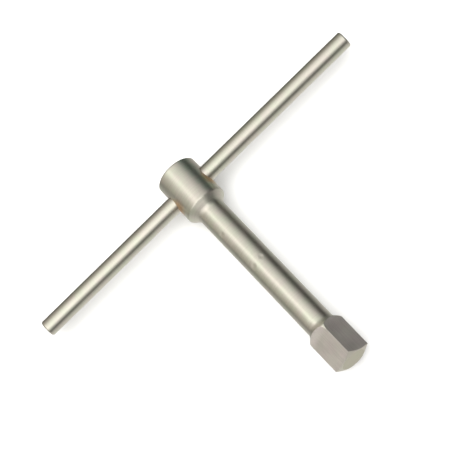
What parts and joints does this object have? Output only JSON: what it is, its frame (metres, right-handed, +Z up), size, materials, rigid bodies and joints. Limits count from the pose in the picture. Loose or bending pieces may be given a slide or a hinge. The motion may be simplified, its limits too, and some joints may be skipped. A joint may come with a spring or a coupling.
{
  "type": "t-handle square drive key",
  "caption": "T-handle key with a male square drive at the end of a round shank and a plain cross bar that slides through a cylindrical head.",
  "frame": {"origin": "on the surface the tool lies on, under the middle of its whole length and width, in metres", "axes": "+Z up from the surface the tool lies on, +X along the cross bar towards the end that stands out further, +Y along the shank from the square end to the head"},
  "size_m": [0.23, 0.15, 0.025],
  "materials": {
    "key_steel": "turned satin steel with a warm nickel tint, the square finer and more matt",
    "bar_steel": "drawn bright bar, smooth satin, warm nickel tint",
    "ball_steel": "polished bearing ball",
    "spring_steel": "oiled drawn spring wire",
    "screw_steel": "black oxide"
  },
  "bodies": {
    "key": {"key_body": "key_steel", "detent_ball": "ball_steel", "detent_spring": "spring_steel", "plug_screw": "screw_steel"},
    "bar": {"cross_bar": "bar_steel"}
  },
  "joints": [
    {"name": "bar_slide", "type": "slide", "parent": "key", "child": "bar", "axis": [1, 0, 0], "range_m": [-0.106, 0.098]}
  ]
}
